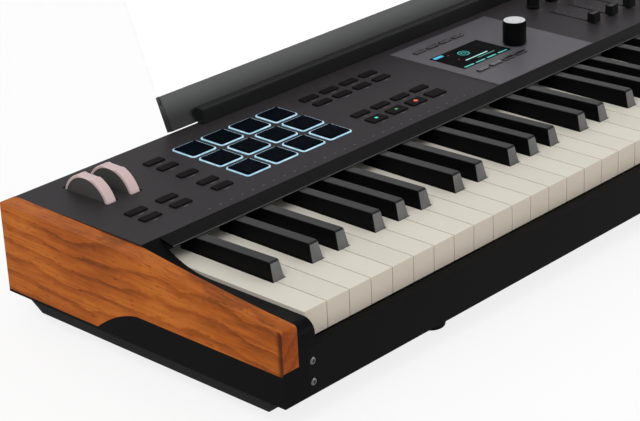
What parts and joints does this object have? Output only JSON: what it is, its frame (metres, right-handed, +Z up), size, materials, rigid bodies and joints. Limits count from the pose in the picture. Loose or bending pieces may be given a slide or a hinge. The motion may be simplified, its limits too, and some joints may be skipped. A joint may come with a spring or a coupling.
{
  "type": "synthesizer",
  "caption": "Stage keyboard synthesizer with weighted keys, wooden cheeks, lit pads, faders, wheels and a clear music rest.",
  "frame": {"origin": "middle of the footprint, on the surface that the rubber feet stand on", "axes": "+X towards the high notes along the keyboard, +Y from the player to the back, +Z up"},
  "size_m": [1.29, 0.3804, 0.275],
  "materials": {
    "pan_paint": "dark grey powder coat",
    "rail_paint": "black satin powder coat",
    "black_moulding": "fine grained black moulding",
    "cheek_wood": "oiled orange brown wood with darker streaks",
    "panel_paint": "charcoal satin paint",
    "bezel_paint": "lighter grey satin anodised aluminium",
    "window_glass": "black glossy window",
    "bed_steel": "zinc plated steel",
    "felt": "light grey felt",
    "spring_steel": "bright spring steel",
    "board": "green circuit board",
    "pot_metal": "pressed steel cans",
    "light_guide": "milky light guide, lit pale blue",
    "socket_plastic": "black sockets",
    "foot_rubber": "black rubber",
    "screw_steel": "plated screws",
    "rest_bar": "black satin extrusion",
    "rest_acrylic": "clear acrylic sheet",
    "white_key": "warm white key tops, satin",
    "black_key": "black key tops, matt",
    "wheel_rubber": "light grey soft-touch wheels",
    "control_metal": "plated steel shaft",
    "encoder_black": "gloss black body with a brushed silver top",
    "knob_black": "black knobs",
    "cap_black": "black fader caps",
    "pad_rubber": "near-black silicone pads",
    "button_grey": "dark grey silicone buttons",
    "button_metal": "dark grey buttons with a sheen"
  },
  "bodies": {
    "case": {"bottom_pan": "pan_paint", "front_rail": "rail_paint", "left_end_block": "black_moulding", "right_end_block": "black_moulding", "left_wood_cheek": "cheek_wood", "right_wood_cheek": "cheek_wood", "top_panel": "panel_paint", "display_bezel": "bezel_paint", "display_window": "window_glass", "rear_panel": "rail_paint", "key_frame": "bed_steel", "key_felts": "felt", "key_springs": "spring_steel", "circuit_boards": "board", "control_pots": "pot_metal", "wheel_carrier": "black_moulding", "pad_light_frames": "light_guide", "rear_sockets": "socket_plastic", "rubber_feet": "foot_rubber", "screws": "screw_steel"},
    "music_rest": {"music_rest_bar": "rest_bar", "music_rest_panel": "rest_acrylic"},
    "keys_a": {"keys_a": "white_key"},
    "keys_a_sharp": {"keys_a_sharp": "black_key"},
    "keys_b": {"keys_b": "white_key"},
    "keys_c": {"keys_c": "white_key"},
    "keys_c_sharp": {"keys_c_sharp": "black_key"},
    "keys_d": {"keys_d": "white_key"},
    "keys_d_sharp": {"keys_d_sharp": "black_key"},
    "keys_e": {"keys_e": "white_key"},
    "keys_f": {"keys_f": "white_key"},
    "keys_f_sharp": {"keys_f_sharp": "black_key"},
    "keys_g": {"keys_g": "white_key"},
    "keys_g_sharp": {"keys_g_sharp": "black_key"},
    "pitch_wheel": {"pitch_wheel": "wheel_rubber"},
    "mod_wheel": {"mod_wheel": "wheel_rubber"},
    "encoder_shaft": {"encoder_shaft": "control_metal"},
    "encoder_knob": {"encoder_knob": "encoder_black"},
    "pads": {"pads": "pad_rubber"},
    "left_buttons": {"left_buttons": "button_grey"},
    "centre_buttons": {"centre_buttons": "button_grey"},
    "display_buttons": {"display_buttons": "button_metal"},
    "knob_1": {"knob_1": "knob_black"},
    "fader_1": {"fader_cap_1": "cap_black"},
    "knob_2": {"knob_2": "knob_black"},
    "fader_2": {"fader_cap_2": "cap_black"},
    "knob_3": {"knob_3": "knob_black"},
    "fader_3": {"fader_cap_3": "cap_black"},
    "knob_4": {"knob_4": "knob_black"},
    "fader_4": {"fader_cap_4": "cap_black"},
    "knob_5": {"knob_5": "knob_black"},
    "fader_5": {"fader_cap_5": "cap_black"},
    "knob_6": {"knob_6": "knob_black"},
    "fader_6": {"fader_cap_6": "cap_black"},
    "knob_7": {"knob_7": "knob_black"},
    "fader_7": {"fader_cap_7": "cap_black"},
    "knob_8": {"knob_8": "knob_black"},
    "fader_8": {"fader_cap_8": "cap_black"},
    "knob_9": {"knob_9": "knob_black"},
    "fader_9": {"fader_cap_9": "cap_black"}
  },
  "joints": [
    {"name": "press_a", "type": "hinge", "parent": "case", "child": "keys_a", "pos_m": [0, 0.03278, 0.068], "axis": [1, 0, 0], "range_deg": [0, 2.7], "stiffness_Nm_per_rad": 6.4, "springref_deg": -11.46, "deforming": ["key_springs"]},
    {"name": "press_a_sharp", "type": "hinge", "parent": "case", "child": "keys_a_sharp", "pos_m": [0, 0.03278, 0.068], "axis": [1, 0, 0], "range_deg": [0, 2.7], "stiffness_Nm_per_rad": 6.4, "springref_deg": -11.46, "deforming": ["key_springs"]},
    {"name": "press_b", "type": "hinge", "parent": "case", "child": "keys_b", "pos_m": [0, 0.03278, 0.068], "axis": [1, 0, 0], "range_deg": [0, 2.7], "stiffness_Nm_per_rad": 6.4, "springref_deg": -11.46, "deforming": ["key_springs"]},
    {"name": "press_c", "type": "hinge", "parent": "case", "child": "keys_c", "pos_m": [0, 0.03278, 0.068], "axis": [1, 0, 0], "range_deg": [0, 2.7], "stiffness_Nm_per_rad": 6.4, "springref_deg": -11.46, "deforming": ["key_springs"]},
    {"name": "press_c_sharp", "type": "hinge", "parent": "case", "child": "keys_c_sharp", "pos_m": [0, 0.03278, 0.068], "axis": [1, 0, 0], "range_deg": [0, 2.7], "stiffness_Nm_per_rad": 5.6, "springref_deg": -11.46, "deforming": ["key_springs"]},
    {"name": "press_d", "type": "hinge", "parent": "case", "child": "keys_d", "pos_m": [0, 0.03278, 0.068], "axis": [1, 0, 0], "range_deg": [0, 2.7], "stiffness_Nm_per_rad": 5.6, "springref_deg": -11.46, "deforming": ["key_springs"]},
    {"name": "press_d_sharp", "type": "hinge", "parent": "case", "child": "keys_d_sharp", "pos_m": [0, 0.03278, 0.068], "axis": [1, 0, 0], "range_deg": [0, 2.7], "stiffness_Nm_per_rad": 5.6, "springref_deg": -11.46, "deforming": ["key_springs"]},
    {"name": "press_e", "type": "hinge", "parent": "case", "child": "keys_e", "pos_m": [0, 0.03278, 0.068], "axis": [1, 0, 0], "range_deg": [0, 2.7], "stiffness_Nm_per_rad": 5.6, "springref_deg": -11.46, "deforming": ["key_springs"]},
    {"name": "press_f", "type": "hinge", "parent": "case", "child": "keys_f", "pos_m": [0, 0.03278, 0.068], "axis": [1, 0, 0], "range_deg": [0, 2.7], "stiffness_Nm_per_rad": 5.6, "springref_deg": -11.46, "deforming": ["key_springs"]},
    {"name": "press_f_sharp", "type": "hinge", "parent": "case", "child": "keys_f_sharp", "pos_m": [0, 0.03278, 0.068], "axis": [1, 0, 0], "range_deg": [0, 2.7], "stiffness_Nm_per_rad": 5.6, "springref_deg": -11.46, "deforming": ["key_springs"]},
    {"name": "press_g", "type": "hinge", "parent": "case", "child": "keys_g", "pos_m": [0, 0.03278, 0.068], "axis": [1, 0, 0], "range_deg": [0, 2.7], "stiffness_Nm_per_rad": 5.6, "springref_deg": -11.46, "deforming": ["key_springs"]},
    {"name": "press_g_sharp", "type": "hinge", "parent": "case", "child": "keys_g_sharp", "pos_m": [0, 0.03278, 0.068], "axis": [1, 0, 0], "range_deg": [0, 2.7], "stiffness_Nm_per_rad": 5.6, "springref_deg": -11.46, "deforming": ["key_springs"]},
    {"name": "pitch_bend", "type": "hinge", "parent": "case", "child": "pitch_wheel", "pos_m": [-0.5895, 0.07278, 0.0861], "axis": [1, 0, 0], "range_deg": [-40, 40], "stiffness_Nm_per_rad": 0.12},
    {"name": "modulation", "type": "hinge", "parent": "case", "child": "mod_wheel", "pos_m": [-0.5647, 0.07278, 0.0861], "axis": [1, 0, 0], "range_deg": [-40, 40]},
    {"name": "encoder_push", "type": "slide", "parent": "case", "child": "encoder_shaft", "axis": [0, 0, -1], "range_m": [0, 0.0005], "stiffness_N_per_m": 1500, "springref_m": -0.001},
    {"name": "encoder_turn", "type": "hinge", "parent": "encoder_shaft", "child": "encoder_knob", "pos_m": [-0.1151, 0.02578, 0.105], "axis": [0, 0, 1], "continuous": true},
    {"name": "turn_1", "type": "hinge", "parent": "case", "child": "knob_1", "pos_m": [-0.022, 0.07678, 0.1], "axis": [0, 0, -1], "range_deg": [-150, 150]},
    {"name": "slide_1", "type": "slide", "parent": "case", "child": "fader_1", "axis": [0, 1, 0], "range_m": [0, 0.05]},
    {"name": "turn_2", "type": "hinge", "parent": "case", "child": "knob_2", "pos_m": [0.0065, 0.07678, 0.1], "axis": [0, 0, -1], "range_deg": [-150, 150]},
    {"name": "slide_2", "type": "slide", "parent": "case", "child": "fader_2", "axis": [0, 1, 0], "range_m": [0, 0.05]},
    {"name": "turn_3", "type": "hinge", "parent": "case", "child": "knob_3", "pos_m": [0.035, 0.07678, 0.1], "axis": [0, 0, -1], "range_deg": [-150, 150]},
    {"name": "slide_3", "type": "slide", "parent": "case", "child": "fader_3", "axis": [0, 1, 0], "range_m": [0, 0.05]},
    {"name": "turn_4", "type": "hinge", "parent": "case", "child": "knob_4", "pos_m": [0.0635, 0.07678, 0.1], "axis": [0, 0, -1], "range_deg": [-150, 150]},
    {"name": "slide_4", "type": "slide", "parent": "case", "child": "fader_4", "axis": [0, 1, 0], "range_m": [0, 0.05]},
    {"name": "turn_5", "type": "hinge", "parent": "case", "child": "knob_5", "pos_m": [0.092, 0.07678, 0.1], "axis": [0, 0, -1], "range_deg": [-150, 150]},
    {"name": "slide_5", "type": "slide", "parent": "case", "child": "fader_5", "axis": [0, 1, 0], "range_m": [0, 0.05]},
    {"name": "turn_6", "type": "hinge", "parent": "case", "child": "knob_6", "pos_m": [0.1205, 0.07678, 0.1], "axis": [0, 0, -1], "range_deg": [-150, 150]},
    {"name": "slide_6", "type": "slide", "parent": "case", "child": "fader_6", "axis": [0, 1, 0], "range_m": [0, 0.05]},
    {"name": "turn_7", "type": "hinge", "parent": "case", "child": "knob_7", "pos_m": [0.149, 0.07678, 0.1], "axis": [0, 0, -1], "range_deg": [-150, 150]},
    {"name": "slide_7", "type": "slide", "parent": "case", "child": "fader_7", "axis": [0, 1, 0], "range_m": [0, 0.05]},
    {"name": "turn_8", "type": "hinge", "parent": "case", "child": "knob_8", "pos_m": [0.1775, 0.07678, 0.1], "axis": [0, 0, -1], "range_deg": [-150, 150]},
    {"name": "slide_8", "type": "slide", "parent": "case", "child": "fader_8", "axis": [0, 1, 0], "range_m": [0, 0.05]},
    {"name": "turn_9", "type": "hinge", "parent": "case", "child": "knob_9", "pos_m": [0.206, 0.07678, 0.1], "axis": [0, 0, -1], "range_deg": [-150, 150]},
    {"name": "slide_9", "type": "slide", "parent": "case", "child": "fader_9", "axis": [0, 1, 0], "range_m": [0, 0.05]},
    {"name": "pads_press", "type": "slide", "parent": "case", "child": "pads", "axis": [0, 0, -1], "range_m": [0, 0.001], "stiffness_N_per_m": 8000, "springref_m": -0.0015},
    {"name": "left_buttons_press", "type": "slide", "parent": "case", "child": "left_buttons", "axis": [0, 0, -1], "range_m": [0, 0.0008], "stiffness_N_per_m": 4500, "springref_m": -0.0015},
    {"name": "centre_buttons_press", "type": "slide", "parent": "case", "child": "centre_buttons", "axis": [0, 0, -1], "range_m": [0, 0.0008], "stiffness_N_per_m": 8000, "springref_m": -0.0015},
    {"name": "display_buttons_press", "type": "slide", "parent": "case", "child": "display_buttons", "axis": [0, 0, -1], "range_m": [0, 0.0008], "stiffness_N_per_m": 4000, "springref_m": -0.0015},
    {"name": "rest_lift", "type": "slide", "parent": "case", "child": "music_rest", "axis": [0, 0, 1], "range_m": [0, 0.06]}
  ]
}
